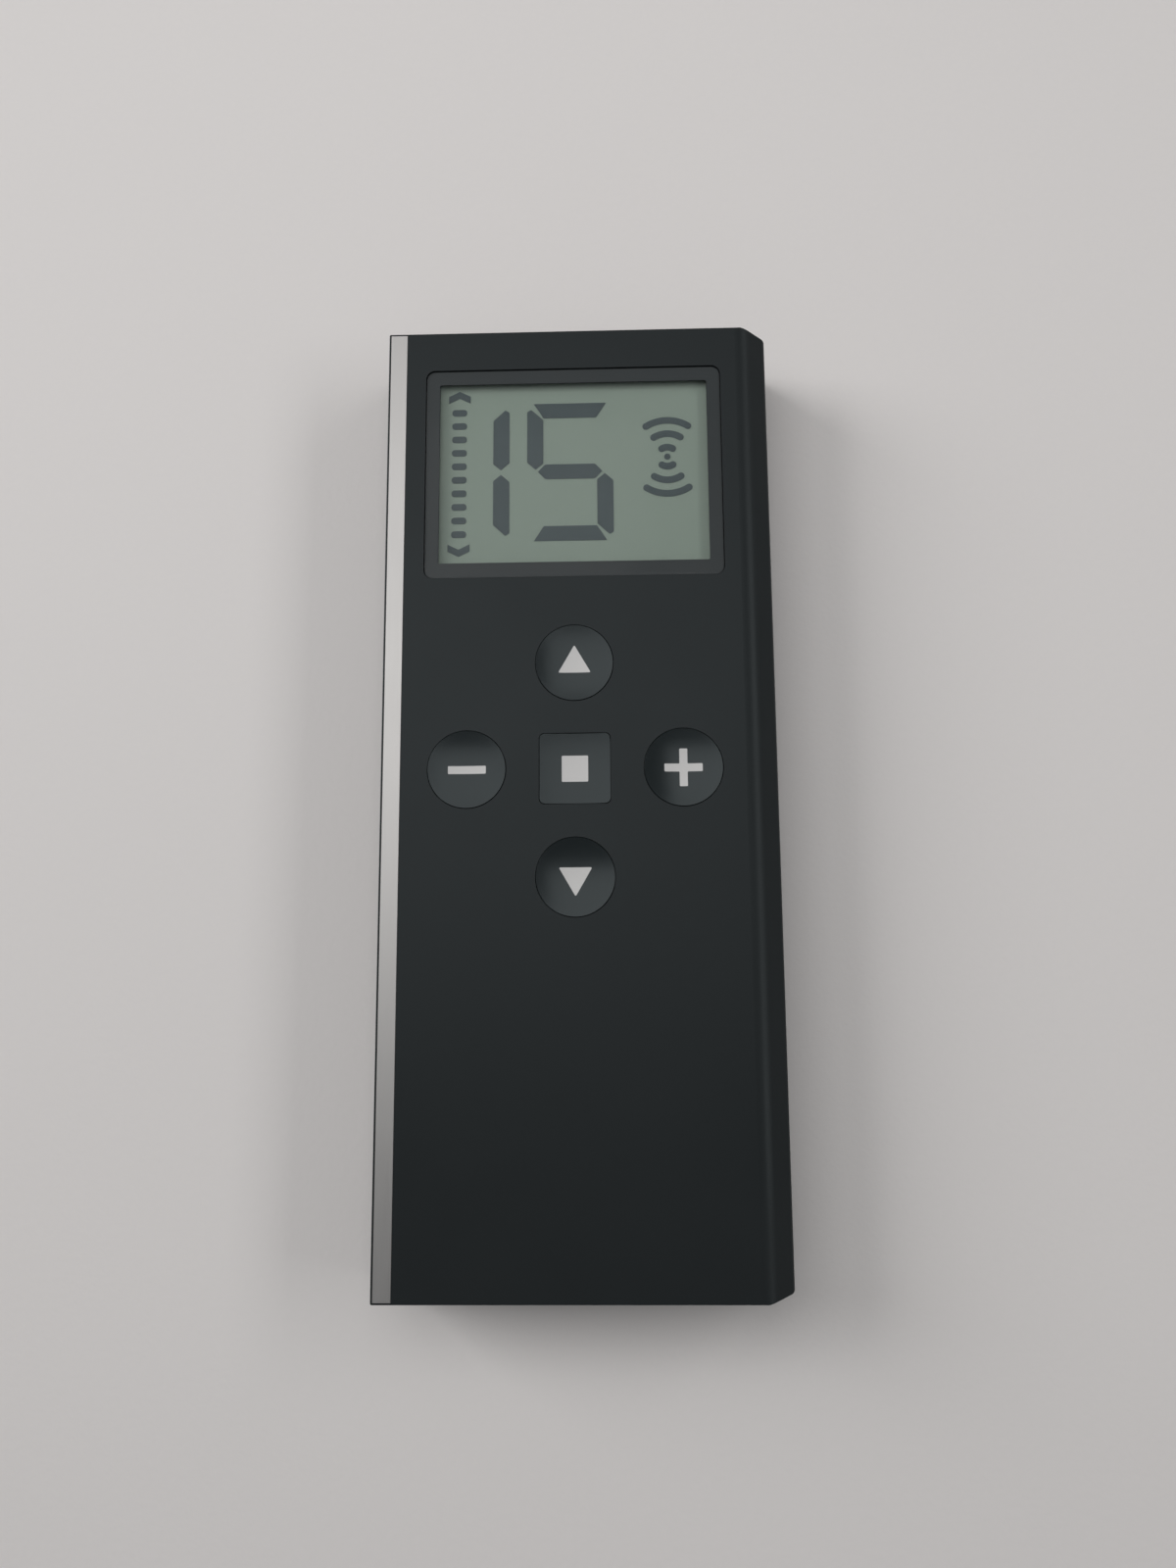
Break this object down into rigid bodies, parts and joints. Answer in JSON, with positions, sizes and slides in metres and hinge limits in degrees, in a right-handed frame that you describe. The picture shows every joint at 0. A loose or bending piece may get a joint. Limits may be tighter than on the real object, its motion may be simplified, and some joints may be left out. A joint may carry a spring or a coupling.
{
  "type": "handheld wireless remote control",
  "caption": "Slim handheld radio remote: bevelled case, segment display, dished control keys and a sliding battery door.",
  "frame": {"origin": "middle of the footprint, on the plane the back rests on", "axes": "+X across the case towards the bevelled shoulder, +Y along it towards the display, +Z out of the face"},
  "size_m": [0.0504, 0.1236, 0.0131],
  "materials": {
    "case_plastic": "fine spark-eroded texture",
    "key_plastic": "satin",
    "legend_plastic": "satin",
    "satin_aluminium": "satin, brushed lengthwise",
    "clear_window": "polished",
    "display_glass": "polished",
    "display_ink": "flat dark grey",
    "display_back": "pearl grey-green",
    "black_tape": "matt foam",
    "frame_plastic": "moulded",
    "silicone": "moulded",
    "carbon_rubber": "matt",
    "board_laminate": "solder mask",
    "chip_epoxy": "moulded",
    "plunger_plastic": "moulded",
    "tinned_steel": "bright tinned",
    "cell_steel": "bright stainless",
    "antenna_brass": "drawn wire",
    "screw_steel": "black oxide",
    "label_film": "satin film"
  },
  "bodies": {
    "case": {"front_housing": "case_plastic", "rear_cover": "case_plastic", "trim_strip": "satin_aluminium", "display_window": "clear_window", "lcd_upper_glass": "display_glass", "lcd_lower_glass": "display_glass", "lcd_segments": "display_ink", "lcd_reflector": "display_back", "window_tape": "black_tape", "trim_tape": "black_tape", "display_gasket": "black_tape", "lcd_frame": "frame_plastic", "keypad_mat": "silicone", "lcd_connectors": "silicone", "cell_gasket": "silicone", "contact_pads": "carbon_rubber", "circuit_board": "board_laminate", "microcontroller": "chip_epoxy", "radio_chip": "chip_epoxy", "chip_parts": "chip_epoxy", "pair_switch": "chip_epoxy", "controller_leads": "tinned_steel", "radio_shield": "tinned_steel", "clock_crystal": "tinned_steel", "positive_contact": "tinned_steel", "negative_contact": "tinned_steel", "cell_can": "cell_steel", "cell_cap": "cell_steel", "antenna_wire": "antenna_brass", "case_screws": "screw_steel", "board_screws": "screw_steel", "rating_label": "label_film"},
    "up_key": {"key_up": "key_plastic", "legend_up": "legend_plastic", "pill_up": "carbon_rubber"},
    "down_key": {"key_down": "key_plastic", "legend_down": "legend_plastic", "pill_down": "carbon_rubber"},
    "stop_key": {"key_stop": "key_plastic", "legend_stop": "legend_plastic", "pill_stop": "carbon_rubber"},
    "minus_key": {"key_minus": "key_plastic", "legend_minus": "legend_plastic", "pill_minus": "carbon_rubber"},
    "plus_key": {"key_plus": "key_plastic", "legend_plus": "legend_plastic", "pill_plus": "carbon_rubber"},
    "door": {"battery_door": "case_plastic"},
    "pair_button": {"pair_plunger": "plunger_plastic"}
  },
  "joints": [
    {"name": "up_press", "type": "slide", "parent": "case", "child": "up_key", "axis": [0, 0, -1], "range_m": [0, 0.0009], "stiffness_N_per_m": 1200, "deforming": ["keypad_mat"]},
    {"name": "down_press", "type": "slide", "parent": "case", "child": "down_key", "axis": [0, 0, -1], "range_m": [0, 0.0009], "stiffness_N_per_m": 1200, "deforming": ["keypad_mat"]},
    {"name": "stop_press", "type": "slide", "parent": "case", "child": "stop_key", "axis": [0, 0, -1], "range_m": [0, 0.0009], "stiffness_N_per_m": 1200, "deforming": ["keypad_mat"]},
    {"name": "minus_press", "type": "slide", "parent": "case", "child": "minus_key", "axis": [0, 0, -1], "range_m": [0, 0.0009], "stiffness_N_per_m": 1200, "deforming": ["keypad_mat"]},
    {"name": "plus_press", "type": "slide", "parent": "case", "child": "plus_key", "axis": [0, 0, -1], "range_m": [0, 0.0009], "stiffness_N_per_m": 1200, "deforming": ["keypad_mat"]},
    {"name": "door_slide", "type": "slide", "parent": "case", "child": "door", "axis": [0, -1, 0], "range_m": [0, 0.046]},
    {"name": "pair_press", "type": "slide", "parent": "case", "child": "pair_button", "axis": [0, 0, 1], "range_m": [0, 0.00025], "stiffness_N_per_m": 6000}
  ]
}
